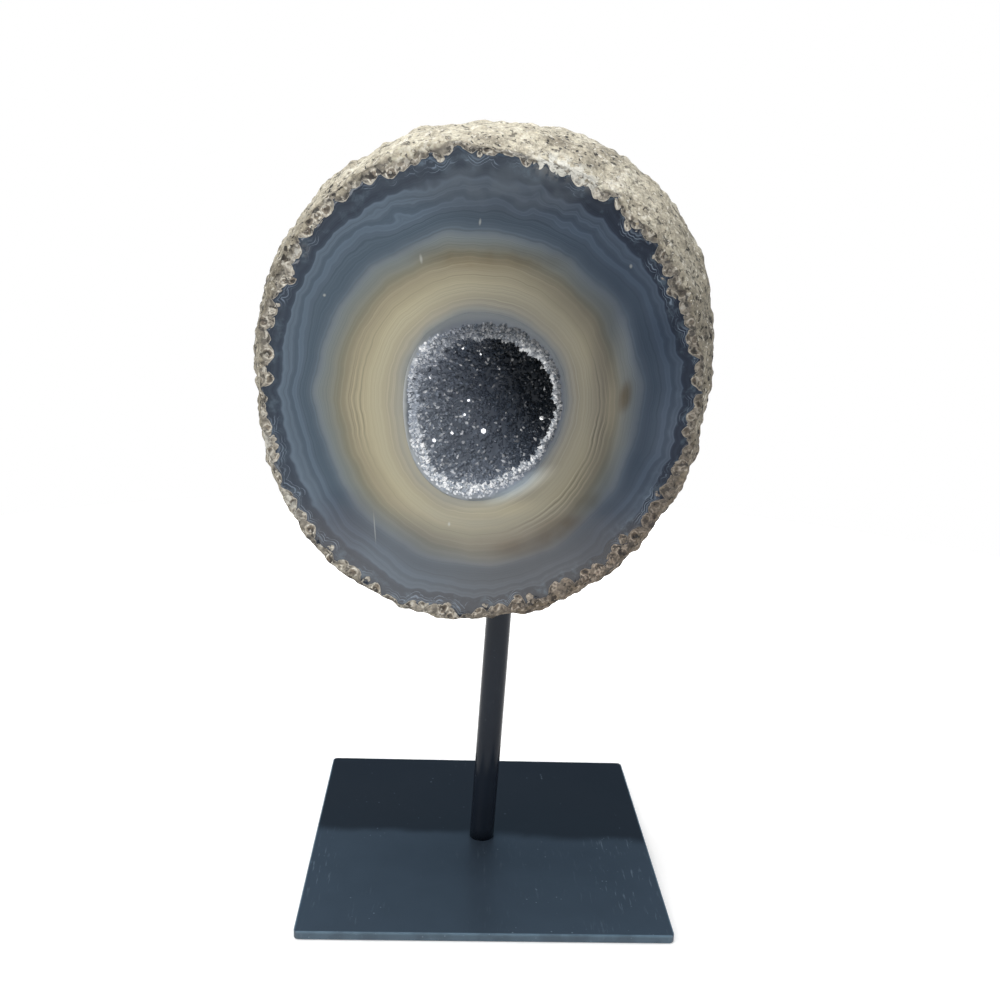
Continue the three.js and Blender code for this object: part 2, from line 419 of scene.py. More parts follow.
def skinRows(angle):
    # the nodule from the rim to the back, pushed outwards by the relief; the rim stays in the cut
    first = -math.asin(stone["girdleDepth"] / stone["frontReach"])
    share = np.arange(stone["skinRows"]) / stone["skinRows"]
    rise = first + (math.pi / 2 - first) * (share + 0.06 * np.sin(math.pi * share))
    angleGrid, riseGrid = np.meshgrid(angle, rise)
    smooth = noduleSurface(angleGrid, riseGrid)
    middle = np.array([cut["x"], cut["y"] + stone["girdleDepth"], cut["z"]]) * mm
    outward = smooth - middle
    outward[0, :, 1] = 0
    outward = unit(outward)
    relief = rindRelief(smooth, angleGrid)
    relief = relief * (1 - 0.8 * smoothStep(0.94, 1.0, share)[:, None])
    return smooth + outward * relief[..., None]


def hollowWall(angle, travel, inset):
    # radius = (mouth - inset) * cos(turn)^fullness, depth = (depth - inset) * sin(turn), leaning
    # to the right as it goes back; travel 0 is the mouth and 1 the bottom
    turn = travel * math.pi / 2
    radius = (lobedRadius(hollow["mouth"], angle) - inset) * np.cos(turn) ** hollow["fullness"]
    x = hollow["x"] * mm + radius * np.cos(angle) + hollow["lean"] * mm * np.sin(turn)
    y = cut["y"] * mm + (hollow["depth"] * mm - inset) * np.sin(turn)
    z = hollow["z"] * mm + radius * np.sin(angle)
    return np.stack([x, y + 0 * x, z], axis=-1)


def polygonOffset(angle):
    # how far an uneven polygon lies outside its mean radius, as a share: its radius toward an
    # angle is the least of distance / cos(angle - side's direction), softened by a power mean
    random = np.random.default_rng(seeds["sides"])
    count = bandShape["sides"]
    toward = (np.arange(count) + random.uniform(-0.3, 0.3, count)) * fullTurn / count
    distance = 1 + random.uniform(-0.005, 0.005, count)
    across = np.maximum(np.cos(angle[None, :] - toward[:, None]), 0.1)
    power = -bandShape["softness"]
    radius = np.sum((distance[:, None] / across) ** float(power), axis=0) ** (1 / power)
    return radius / radius.mean() - 1


def faceRows(angle, rim):
    # points on the cut between outlines: the mouth, each band outline, then the rim itself, with
    # flat stretches and bulges; also each point's band and its distance past the agate's edge
    circle = np.stack([np.cos(angle), 0 * angle, np.sin(angle)], axis=-1)
    outlines = [hollowWall(angle, 0.0, 0.0)]
    outlines += [cutMiddle + circle * lobedRadius(o, angle)[:, None] for o in bandOutlines]
    places = np.array([mouthBand] + [o["mean"] for o in bandOutlines])
    bands = np.linspace(mouthBand, places[-1], stone["faceRows"])
    upper = np.clip(np.searchsorted(places, bands), 1, len(places) - 1)
    share = (bands - places[upper - 1]) / (places[upper] - places[upper - 1])
    stacked = np.stack(outlines)
    rows = stacked[upper - 1] + (stacked[upper] - stacked[upper - 1]) * share[:, None, None]
    sideShare = np.interp(bands, *zip(*bandShape["sideShare"]))
    bulgeHeight = np.interp(bands, *zip(*bandShape["bulgeHeight"]))
    bulge, _ = cellNoise(circle * bandShape["bulgeRadius"], bandShape["bulgeSize"], seeds["bulges"])
    offset = sideShare[:, None] * polygonOffset(angle) * bands[:, None]
    offset = offset + bulgeHeight[:, None] * (2 * bulge ** 2 - 0.35)
    rows = rows + circle * (offset * mm)[..., None]
    edge = rows[-1]
    ringShare = (np.arange(stone["edgeRows"]) + 1) / (stone["edgeRows"] + 1)
    ring = edge + (rim - edge) * ringShare[:, None, None]
    allRows = np.concatenate([rows, ring])
    past = np.sum((allRows - edge) * circle, axis=-1) / mm
    band = np.concatenate([bands, places[-1] + 5 * ringShare])[:, None] + 0 * past
    return allRows, band, past


def makeStoneMesh():
    # the hollow's wall, the cut with its sawn rind a little sunk, and the skin, as one closed mesh
    angle = np.arange(stone["columns"]) * fullTurn / stone["columns"]
    skin = skinRows(angle)
    face, band, past = faceRows(angle, skin[0])
    ringPart = smoothStep(0.2, 1.5, past)
    sunk = sum(depth * softNoise(face / mm, size, seed) for depth, size, seed in stone["sawn"])
    face[..., 1] += np.maximum(0, sunk + stone["sawnDepth"]) * ringPart * mm
    wallTravel = np.linspace(1, 0, stone["wallRows"] + 2)[1:-1, None]
    wall = hollowWall(angle[None, :], wallTravel, 0.0)
    rows = np.concatenate([wall, face, skin])
    bottom = hollowWall(np.zeros(1), np.ones(1), 0.0)[0]
    back = noduleSurface(np.zeros(1), np.full(1, math.pi / 2))[0]
    points, faces = ringSkin(rows, bottom, back)
    columns = stone["columns"]
    quadRow = np.arange((len(rows) - 1) * columns) // columns
    skinStart = stone["wallRows"] + face.shape[0] - 1
    smooth = np.concatenate([quadRow >= skinStart, np.zeros(columns, bool), np.ones(columns, bool)])
    mesh = newMesh("agate_stone", points, faces, smooth)
    skinPast = np.linalg.norm(skin - skin[0], axis=-1) / mm + past[-1] + 1
    # past the last band's radius for the skin; the last two values are the wall's bottom and the
    # stone's back
    wallBand = np.full(wall[..., 0].size, mouthBand)
    skinBand = np.full(skinPast.size, 80.0)
    bandParts = [wallBand, band.ravel(), skinBand, [mouthBand, 90.0]]
    pastParts = [wallBand - 70, past.ravel(), skinPast.ravel(), [-40.0, 90.0]]
    addAttribute(mesh, "band", np.concatenate(bandParts))
    addAttribute(mesh, "past", np.concatenate(pastParts))
    return mesh


# Colours of the bands by their mean radius in millimetres, as on the stone's lighter left half
bandColours = [
    (26.0, (104, 110, 116)), (28.0, (118, 122, 122)), (29.4, (144, 144, 136)), (31.0, (153, 149, 134)),
    (34.0, (159, 153, 132)), (36.5, (165, 159, 136)), (39.0, (162, 155, 131)), (41.5, (154, 147, 124)),
    (44.0, (144, 137, 116)), (46.5, (131, 126, 108)), (48.5, (121, 120, 107)), (50.5, (116, 119, 113)),
    (52.5, (113, 119, 118)), (54.3, (106, 114, 119)), (55.8, (86, 97, 107)), (58.0, (77, 89, 100)),
    (60.2, (78, 90, 101)), (60.7, (84, 96, 108)), (63.3, (88, 101, 114)), (63.8, (78, 90, 102)),
    (64.7, (80, 92, 104)), (65.1, (86, 98, 110)), (67.2, (89, 101, 113)), (67.7, (96, 109, 122)),
    (68.1, (64, 72, 83)), (69.5, (57, 64, 74)), (71.0, (63, 70, 80)), (72.4, (56, 62, 71)),
]
bandSpan = (25.0, 75.0)
# Thin lines in the beige: their radius and tone, where 0.5 leaves the band as it is
beigeLines = [(40.3, 0.76), (41.1, 0.3), (41.8, 0.8), (42.8, 0.27), (43.5, 0.8), (44.5, 0.32), (45.2, 0.74)]
# Parts of the cut in millimetres: x, z, half width, half height and slope in degrees
cutParts = {
    "linesLowRight": (26, 158, 26, 34, 0),
    "linesLeft": (-49, 178, 8, 30, 0),
    "haloLess": (-32, 156, 32, 34, 0),
    "warmBottom": (14, 118, 42, 20, 14),
    "milkyTop": (-2, 252, 40, 10, 0),
    "mouthLine": (-36, 179, 10, 30, 0),
}
# Clouds in the bands, in the same order with a strength and a colour
brown, grey = (196, 170, 132), (205, 209, 222)
clouds = [
    (41, 184, 2.2, 6, -8, 0.5, brown),
    (9, 130.5, 12, 4.0, 10, 0.6, brown),
    (20, 136.5, 10, 4.6, 32, 0.95, brown),
    (29, 144, 8, 4.0, 46, 0.6, brown),
    (-6, 227, 26, 4.0, 0, 0.5, brown),
    (36, 186, 6, 30, 0, 0.15, grey),
]
# Darker and lighter parts of the cut, mostly painted shade and painted light and partly the agate's own
# tone, the last one its brown spot, with the linear light that they let through
paintedShadeLightAndSpot = [
    (4, 213, 34, 11, -6, (0.86, 0.87, 0.9, 1.0)),
    (0, 247, 36, 10, 0, (0.8, 0.76, 0.75, 1.0)),
    (-53, 135, 13, 14, -45, (0.62, 0.62, 0.68, 1.0)),
    (40, 131, 15, 12, 45, (0.62, 0.63, 0.68, 1.0)),
    (55, 172, 8, 14, 0, (1.3, 1.24, 1.2, 1.0)),
    (53, 204, 8, 10, 20, (0.8, 0.82, 0.85, 1.0)),
    (-2, 144, 14, 4, 5, (1.25, 1.22, 1.12, 1.0)),
    (-27, 130, 16, 9, -20, (0.8, 0.8, 0.83, 1.0)),
    (31.5, 184, 4, 26, 0, (0.86, 0.86, 0.9, 1.0)),
    (39.5, 184, 4.5, 30, 0, (1.45, 1.4, 1.34, 1.0)),
    (41, 183, 2.2, 5.5, -8, (0.8, 0.71, 0.62, 1.0)),
]
# Painted light on the halo below the mouth, in the same order, also on the crust's ring
mouthLight = (7, 152, 12, 3.6, 28, (1.9, 2.0, 2.1, 1.0))
# Nicks and a scratch in the polish, with a strength
nicks = [
    (-28.1, 225.7, 0.5, 1.5, 10, 0.5), (-9.5, 238.0, 0.4, 1.1, -5, 0.45), (-16.5, 137.8, 0.5, 0.8, 0, 0.6),
    (-59.0, 213.0, 0.5, 0.5, 0, 0.6), (40.0, 226.0, 0.5, 0.7, 0, 0.4), (-41.7, 135.7, 0.22, 5.5, 5, 0.35),
]
# Whitish crystalline patches along the rind, with a strength
chips = [
    (14, 256.5, 9, 4.5, -12, 1.0), (24, 253, 6, 3.5, -40, 0.9), (-78, 161, 2, 8, 8, 0.6),
    (-67, 226, 4, 2.5, 45, 0.6), (-70, 143, 2, 6, 28, 0.5), (54, 126, 4, 3, 40, 0.5),
]
chipDepth = 0.012   # metres behind the cut
# The right half is darker by painted shade, partly the agate's own darker tone, from the first x to the
# second in metres
rightHalfPaintedShade = {"span": (-0.036, 0.044), "shade": (0.52, 0.53, 0.58, 1.0)}
# Growths of the sawn rind in millimetres: width round the rim and length across it
growths = {"large": (4.3, 4.6), "small": (1.7, 1.9), "rimRadius": 75}
# Whiskers at the agate's edge: place on the last 5 mm before the rind, and strength
whiskers = [(0.0, 0.0), (0.4, 0.0), (0.45, 0.7), (0.5, 0.0), (0.7, 0.0), (0.76, 1.0), (0.81, 0.0),
            (0.9, 0.0), (0.95, 0.5), (1.0, 0.0)]
cream, quartzIndex = (222, 217, 204), 1.54
white = (1, 1, 1, 1)


def bandPlace(at):
    return (at - bandSpan[0]) / (bandSpan[1] - bandSpan[0])


def ellipseMask(place, x, z, halfWidth, halfHeight, slope, depth=1.0):
    # 1 in the middle of a sloping ellipse in the cut, fading to 0 past its outline and the depth
    inputs = {"Vector": place, "Location": (x * mm, cut["y"] * mm, z * mm),
              "Rotation": (0, math.radians(-slope), 0), "Scale": (halfWidth * mm, depth, halfHeight * mm)}
    local = addNode("Mapping", {"vector_type": "TEXTURE"}, inputs).outputs[0]
    return fading(vectorMaths("LENGTH", local), 0.2, 1.35)


def cutPart(place, name):
    return ellipseMask(place, *cutParts[name])


def bandedColour(place):
    # the bands' colours by their radius plus some drift, then finer lines, clouds, and painted shade and
    # painted light over it
    band = attribute(place, "band")
    x, _, z = axes(place)
    upward = between(z, 0.222, 0.238)
    drift = noise(place, 120, 2)
    crinkle = times(patches(place, 95, 2, 0.3, 0.7, -0.9, 0.9), upward)
    wander = maths("ADD", patches(place, 22, 2, 0.3, 0.7, -1.6, 1.6), crinkle)
    outer = times(between(band, 57, 62), fading(band, 65, 69))
    moved = maths("ADD", band, between(drift, 0.3, 0.7, -0.3, 0.3))
    moved = maths("MULTIPLY_ADD", wander, outer, moved)
    factor = between(moved, *bandSpan, curve="LINEAR")
    base = colourRamp(factor, [(bandPlace(at), shade) for at, shade in bandColours])
    softTone = colourRamp(lineNoise(moved, 0.55, 3), [(0.3, 0.43), (0.5, 0.5), (0.7, 0.57)])
    fineTone = colourRamp(lineNoise(moved, 2.2, 3), [(0.35, 0.44), (0.5, 0.5), (0.65, 0.56)])
    fineHere = maths("MULTIPLY_ADD", upward, 0.4, patches(place, 30, 2, 0.42, 0.62, 0.05, 0.6))
    # the thin lines in the beige come and go round the stone
    lineTone = colourRamp(factor, [
        (bandPlace(at + step), tone) for at, line in beigeLines
        for step, tone in ((-0.24, 0.5), (-0.08, line), (0.08, line), (0.24, 0.5))])
    lineHere = maths("MAXIMUM", cutPart(place, "linesLowRight"), times(cutPart(place, "linesLeft"), 0.6))
    lineHere = times(lineHere, patches(place, 60, 1, 0.3, 0.6, 0.4, 0.9))
    # the grey halo round the hollow fades out at the lower left
    haloLess = times(fading(band, 29, 31), cutPart(place, "haloLess"))
    base = layered(base, (0.5, softTone, "OVERLAY"), (fineHere, fineTone, "OVERLAY"),
                   (lineHere, lineTone, "OVERLAY"), (haloLess, (153, 150, 136)))
    wisps = patches(place, 110, 3, 0.3, 0.7, 0.5, 1.0)
    for *ellipse, strength, shade in clouds:
        base = mixColour(times(ellipseMask(place, *ellipse), wisps, strength), base, shade, "MULTIPLY")
    # the right half is darker and greyer by painted shade and partly its own tone, the bottom a little
    # warmer, and the top milky
    base = layered(base, (between(x, *rightHalfPaintedShade["span"]), rightHalfPaintedShade["shade"], "MULTIPLY"),
                   (cutPart(place, "warmBottom"), (255, 238, 226), "MULTIPLY"),
                   # painted shade on the lowest part of the cut
                   (fading(z, 0.131, 0.150), (0.68, 0.7, 0.72, 1.0), "MULTIPLY"))
    # painted shade and painted light in patches, with the brown spot, then the mouth's painted light
    for *ellipse, shade in [*paintedShadeLightAndSpot, mouthLight]:
        base = mixColour(ellipseMask(place, *ellipse), base, shade, "MULTIPLY")
    milk = times(cutPart(place, "milkyTop"), between(drift, 0.35, 0.6, 0.2, 0.6))
    base = mixColour(milk, base, (90, 98, 106))
    for *ellipse, strength in nicks:
        base = mixColour(times(ellipseMask(place, *ellipse), strength), base, (176, 178, 172))
    return base


def rimSpace(place, past, size):
    # direction from the cut's middle * rim's radius / width, plus the distance past the agate's
    # edge / length, so that cells of size 1 are growths of that width and length
    width, length = growths[size]
    flat = vectorMaths("MULTIPLY", vectorMaths("SUBTRACT", place, tuple(cutMiddle)), (1, 0, 1))
    scale = (growths["rimRadius"] / width,) * 3
    around = vectorMaths("MULTIPLY", vectorMaths("NORMALIZE", flat), scale)
    across = addNode("CombineXYZ", {}, {1: maths("DIVIDE", past, length)}).outputs[0]
    return vectorMaths("ADD", around, across)


def rimGrowths(place, past):
    # round growths of two sizes: spread from the centre, each one's own number, and how far the
    # rind reaches past the agate's edge there: past - 4.6 * spread^2 - 0.6 * small spread^2 + own
    bent = maths("ADD", past, patches(place, 420, 2, 0.3, 0.7, -0.3, 0.3))
    large = cells(rimSpace(place, bent, "large"), 1.0)
    spread = large["Distance"]
    smallSpread = cells(rimSpace(place, bent, "small"), 1.0)["Distance"]
    own = addNode("SeparateColor", {}, {0: large["Color"]}).outputs[0]
    reach = maths("MULTIPLY_ADD", times(spread, spread), -4.6, between(own, 0, 1, 0.7, 2.1))
    smallReach = maths("MULTIPLY_ADD", times(smallSpread, smallSpread), -0.6, 0.15)
    return spread, smallSpread, own, maths("ADD", past, maths("ADD", reach, smallReach))


def agateEdgeColour(place, past, reach, base):
    # thin whiskers in the dark outer zone, which follow the rind's growths less and less
    streaks = colourRamp(between(mixValue(0.6, past, reach), -5.0, 0.0), whiskers)
    streaks = times(streaks, patches(place, 85, 2, 0.47, 0.6, 0.0, 0.7))
    wisps = times(patches(place, 240, 4, 0.5, 0.74, roughness=0.6), between(past, -7.0, -1.5), 0.35)
    return layered(base, (streaks, (132, 146, 162)), (wisps, (104, 120, 132)))


def rindRingColour(place, spread, smallSpread, own, reach):
    # sawn rind: cream skins, tan bodies and brown cores of the growths, with a cream line where
    # they meet the agate
    body = colourRamp(spread, [
        (0.0, (80, 69, 58)), (0.2, (104, 94, 81)), (0.3, (128, 118, 103)), (0.38, (212, 206, 192)),
        (0.45, (154, 147, 134)), (0.6, (136, 130, 118)), (0.8, (114, 108, 98))])
    core = times(fading(spread, 0.1, 0.2), between(own, 0.4, 0.45))
    grain = colourRamp(smallSpread, [(0.1, 0.14), (0.24, 0.45), (0.4, 0.84), (0.54, 0.5), (0.8, 0.14)])
    hole = patches(place, 640, 2, 0.39, 0.45, 0.85, 0.0)
    tip = patches(place, 560, 3, 0.57, 0.64, 0.0, 0.6)
    stain = patches(place, 75, 3, 0.35, 0.65, 0.0, 0.35)
    line = times(between(reach, 0.0, 0.12), fading(reach, 0.25, 0.5), 0.7)
    return layered(body, (core, (26, 22, 19)), (0.7, grain, "OVERLAY"), (hole, (32, 27, 23)),
                   (tip, cream), (stain, (112, 104, 93)), (line, (188, 182, 170)))


def skinColour(place):
    # outer skin: grey-beige stone, mottled, with white flecks, dark specks and dark pits, and painted shade
    # below its top and at the right
    patch = noise(place, 75, 5, 0.62)
    base = colourRamp(patch, [
        (0.3, (142, 134, 118)), (0.45, (180, 172, 153)), (0.56, (198, 191, 172)), (0.7, (223, 217, 201))])
    x, _, z = axes(place)
    # painted shade darkens the skin below its top and towards the right, and dark hollows are painted only
    # in that shade
    side = maths("ADD", fading(z, 0.2, 0.258, 0.85), between(x, 0.0, 0.04, 0.0, 0.24))
    grain = colourRamp(noise(place, 900, 4, 0.65), [(0.33, 0.14), (0.5, 0.5), (0.67, 0.86)])
    clump = colourRamp(cells(place, 330)["Distance"], [(0.1, 0.72), (0.4, 0.55), (0.75, 0.26)])
    pits = times(patches(place, 480, 3, 0.38, 0.41, 1.0, 0.0, 0.55), between(patch, 0.38, 0.6, 1.0, 0.55))
    paintedShadeHollows = times(patches(place, 420, 2, 0.37, 0.4, 0.9, 0.0), side)
    fleck = patches(place, 560, 3, 0.6, 0.64, 0.0, 0.7, 0.6)
    base = layered(base, (side, (0.52, 0.51, 0.5, 1.0), "MULTIPLY"), (0.5, grain, "OVERLAY"),
                   (0.28, clump, "OVERLAY"), (times(pits, 0.95), (36, 30, 25)),
                   (paintedShadeHollows, (44, 38, 32)), (fleck, cream))
    return base, pits


def makeStoneMaterial():
    # polished agate within the cut's edge, sawn rind past it and rough skin outside
    material, place, shader = newMaterial("banded_agate_and_rind")
    x, _, z = axes(place)
    past = attribute(place, "past")
    spread, smallSpread, own, reach = rimGrowths(place, past)
    rindPart = between(reach, -0.06, 0.1)
    agate = agateEdgeColour(place, past, reach, bandedColour(place))
    ring = rindRingColour(place, spread, smallSpread, own, reach)
    skin, pits = skinColour(place)
    onSkin = between(maths("ADD", past, between(own, 0, 1, -1.2, 1.2)), 2.8, 4.6)
    # painted shade: darker at the right, and darker and browner where the rind turns under at the lower
    # right
    rightwardPaintedShade = times(between(x, 0.03, 0.055), fading(past, 3.0, 5.0))
    underPaintedShade = fading(maths("MULTIPLY_ADD", x, -0.8, z), 0.085, 0.135, 0.85)
    rind = layered(ring, (onSkin, skin), (rightwardPaintedShade, (0.58, 0.56, 0.54, 1.0), "MULTIPLY"),
                   (underPaintedShade, (178, 160, 148), "MULTIPLY"))
    base = mixColour(rindPart, agate, rind)
    frosty = patches(place, 380, 3, 0.42, 0.52, roughness=0.6)
    onRind = maths("MULTIPLY_ADD", rindPart, 0.85, 0.15)
    for *ellipse, strength in chips:
        mask = times(ellipseMask(place, *ellipse, depth=chipDepth), strength, onRind, frosty)
        base = mixColour(mask, base, (220, 218, 208))
    polished = patches(place, 40, 3, 0.35, 0.65, 0.09, 0.15)
    rough = mixValue(onSkin, 0.55, 0.85)
    hole = times(fading(spread, 0.08, 0.2), -0.8, maths("SUBTRACT", 1.0, onSkin))
    grit = maths("ADD", noise(place, 800, 5, 0.65), times(pits, -0.7))
    grit = times(maths("ADD", grit, hole), rindPart)
    lumps = times(noise(place, 190, 3), onSkin)
    feed(shader, {"Base Color": base, "Roughness": mixValue(rindPart, polished, rough),
                  "IOR": quartzIndex, "Normal": bump(grit, 0.85, 0.0009, bump(lumps, 0.6, 0.003))})
    return material


def makeStone():
    mesh = makeStoneMesh()
    newPiece("agate_stone", mesh, makeStoneMaterial(), "agate")
    print("stone made:", len(mesh.polygons), "faces")


# The crystal crust

crust = {
    "lip": {"mean": 24.5, "lobes": [
        (1, 1.4, -68), (2, 0.9, 72), (3, 1.1, 14), (4, 0.4, -26), (5, 0.3, 30), (9, 0.4, 75),
        (17, 0.3, 0), (29, 0.25, 40), (43, 0.25, 10), (61, 0.2, 0)]},
    "lipDrop": (1.5, 2.4, 100),   # least and added depth of the lip, most toward this angle
    "mouthDepth": 0.03,
    "depth": 27,
    "lean": 6.5,
    "fullness": 0.62,
    "rough": (0.25, 2.2),   # height and size of the bowl's unevenness
    # the line along which the druse's painted shade changes
    "paintedShadeLine": (3, 30, 46),   # its middle's shift in x, direction in degrees and length
    "columns": 256,
    "wallRows": 5,
    "ringRows": 8,
    "bowlRows": 44,
    "crystals": 7000,
    "onRing": 0.3,   # share of the crystals that stand on the front ring
    "onLip": 0.07,   # share of larger crystals that make the lip's teeth
    "lipSpan": (-0.12, 0.01),   # where they stand, as travel
    "lipGrowth": (1.1, 1.3),   # how much wider and more pointed they are
    "ringGrowth": 0.75,
    # toward an angle: share of the ring under crystals, how white they are at the lip and at
    # the mouth, and how far in the white reaches
    "fringe": [(0, 0.5, 0.7, 0.08, 0.02), (45, 0.7, 0.65, 0.1, 0.02), (62, 0.7, 0.6, 0.08, 0.03),
               (80, 0.6, 0.35, 0.1, 0.05), (115, 0.5, 0.2, 0.12, 0.1), (135, 0.85, 0.3, 0.75, 0.2),
               (155, 0.8, 0.16, 0.5, 0.15), (185, 0.45, 0.1, 0.2, 0.12), (203, 0.7, 0.4, 0.45, 0.06),
               (220, 1.0, 0.85, 0.7, 0.03), (245, 1.0, 0.85, 0.65, 0.02), (275, 0.8, 0.9, 0.35, 0.02),
               (300, 0.6, 0.85, 0.2, 0.02), (330, 0.5, 0.85, 0.12, 0.02)],
    "width": (0.8, 1.6),
    "shaft": (0.1, 0.5),
    "point": (0.35, 0.7),   # as a share of the width
    "tilt": 0.75,
    "root": 0.5,   # length below the surface
    # places in the cut behind which single faces flash, as painted highlights that glow white: x, z and
    # width
    "flashes": [(-6.4, 170.2, 1.9), (12.8, 175.3, 1.5), (-16.8, 169.2, 1.2), (-23, 166.6, 1.4),
                (-10.8, 180.2, 1.1), (-12, 175.8, 1.0), (-13.3, 197.3, 0.9), (-7.4, 195.5, 0.8),
                (-24.5, 187.5, 1.0)],
    "flashShaft": 0.9,
    "glintShare": (0.002, 0.2),   # share of faint glints in the dark, and added in the light
    "glintStrength": (0.03, 0.25),
    "glintGrowth": (0.65, 0.3),   # share of the width that is left, and added shaft
    "skin": 0.05,   # how far the crust's hidden back reaches into the stone
}


def lipDrop(angle):
    # least + more * cos(angle - toward) where that is above 0
    least, more, toward = crust["lipDrop"]
    return (least + more * np.maximum(0, np.cos(angle - math.radians(toward)))) * mm


def crustSurface(angle, travel):
    # from -1 at the mouth to 0 at the lip the front ring, straight inwards and sinking with the
    # square of the way; from 0 to 1 the bowl, with radius = lip * cos(turn)^fullness and depth
    # from the lip's own to the bottom's by sin(turn)
    mouth = lobedRadius(hollow["mouth"], angle)
    lip = lobedRadius(crust["lip"], angle)
    drop = lipDrop(angle)
    ringShare = np.clip(travel + 1, 0, 1)
    turn = np.clip(travel, 0, 1) * math.pi / 2
    bowlRadius = lip * np.maximum(np.cos(turn), 0) ** crust["fullness"]
    radius = np.where(travel < 0, mouth + (lip - mouth) * ringShare, bowlRadius)
    ringDepth = crust["mouthDepth"] * mm + drop * ringShare ** 2
    depth = np.where(travel < 0, ringDepth, drop + (crust["depth"] * mm - drop) * np.sin(turn))
    x = hollow["x"] * mm + radius * np.cos(angle) + crust["lean"] * mm * np.sin(turn)
    z = hollow["z"] * mm + radius * np.sin(angle)
    return np.stack([x, cut["y"] * mm + depth, z], axis=-1)


def fringeAt(angle, column):
    # the fringe table's column, read in straight lines between its angles
    table = np.array(crust["fringe"])
    return np.interp(np.degrees(angle), table[:, 0], table[:, column], period=360)


def ringCover(angle):
    return fringeAt(angle, 1)


def frostAt(angle, travel):
    # lip's whiteness * exp(-(travel / inward reach)^2) past the lip, and evenly to the mouth's
    # over the covered part of the ring
    lip, mouth, inside = fringeAt(angle, 2), fringeAt(angle, 3), fringeAt(angle, 4)
    outward = np.clip(-travel / ringCover(angle), 0, 1)
    return np.where(travel > 0, lip * np.exp(-(travel / inside) ** 2), lip + (mouth - lip) * outward)


def paintedShadeAt(points):
    # painted shade: 0, darkest, at the hollow's upper right, rising evenly to 1, lightest, at the lower
    # left
    inMm = points / mm
    shift, degrees, length = crust["paintedShadeLine"]
    x, z = inMm[..., 0] - hollow["x"] - shift, inMm[..., 2] - hollow["z"]
    toward = math.radians(degrees)
    return np.clip(0.5 - (x * math.cos(toward) + z * math.sin(toward)) / length, 0, 1)


def crystalSeats(random):
    # angle and travel of each crystal: some on the ring, the rest even over the bowl's area,
    # which grows with the radius times the profile's own length
    count = crust["crystals"]
    angle = random.uniform(0, fullTurn, count)
    table = np.linspace(0, 1, 300)
    turn = table * math.pi / 2
    radius = crust["lip"]["mean"] * np.cos(turn) ** crust["fullness"]
    area = (radius[1:] + radius[:-1]) * np.hypot(np.diff(radius), np.diff(crust["depth"] * np.sin(turn)))
    total = np.append(0, np.cumsum(area))
    travel = np.interp(random.uniform(0, 1, count), total / total[-1], table)
    onRing = random.uniform(0, 1, count) < crust["onRing"] * (0.35 + ringCover(angle))
    travel = np.where(onRing, -ringCover(angle) * random.uniform(0, 1, count), travel)
    onLip = random.uniform(0, 1, count) < crust["onLip"]
    travel = np.where(onLip, random.uniform(*crust["lipSpan"], count), travel)
    return angle, travel, onLip


